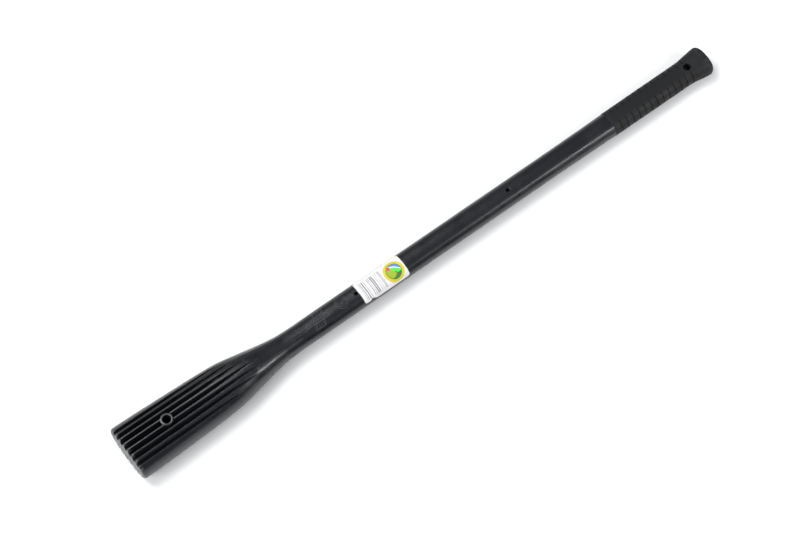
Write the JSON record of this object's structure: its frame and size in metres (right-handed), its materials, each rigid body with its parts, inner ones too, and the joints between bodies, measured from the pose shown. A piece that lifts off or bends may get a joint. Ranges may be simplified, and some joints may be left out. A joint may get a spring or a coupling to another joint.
{
  "type": "splitting maul handle",
  "caption": "Black moulded handle for a slip-on maul or pick head: deeply ribbed oval eye end, smooth oval shaft, paper label and a matte grip with side grooves and a flared butt.",
  "frame": {"origin": "centre of the flat eye end face", "axes": "+X along the handle from the eye end to the butt, +Z out of the broad upper face that carries the label, +Y across"},
  "size_m": [0.9, 0.0741, 0.05],
  "materials": {
    "jacket": "semi-gloss moulded polypropylene",
    "core": "pultruded glass fibre rod",
    "grip": "matte soft-touch",
    "label": "coated self-adhesive label"
  },
  "bodies": {
    "root": {"handle_body": "jacket", "reinforcing_core": "core", "grip_sleeve": "grip", "wrap_label": "label"}
  },
  "joints": []
}
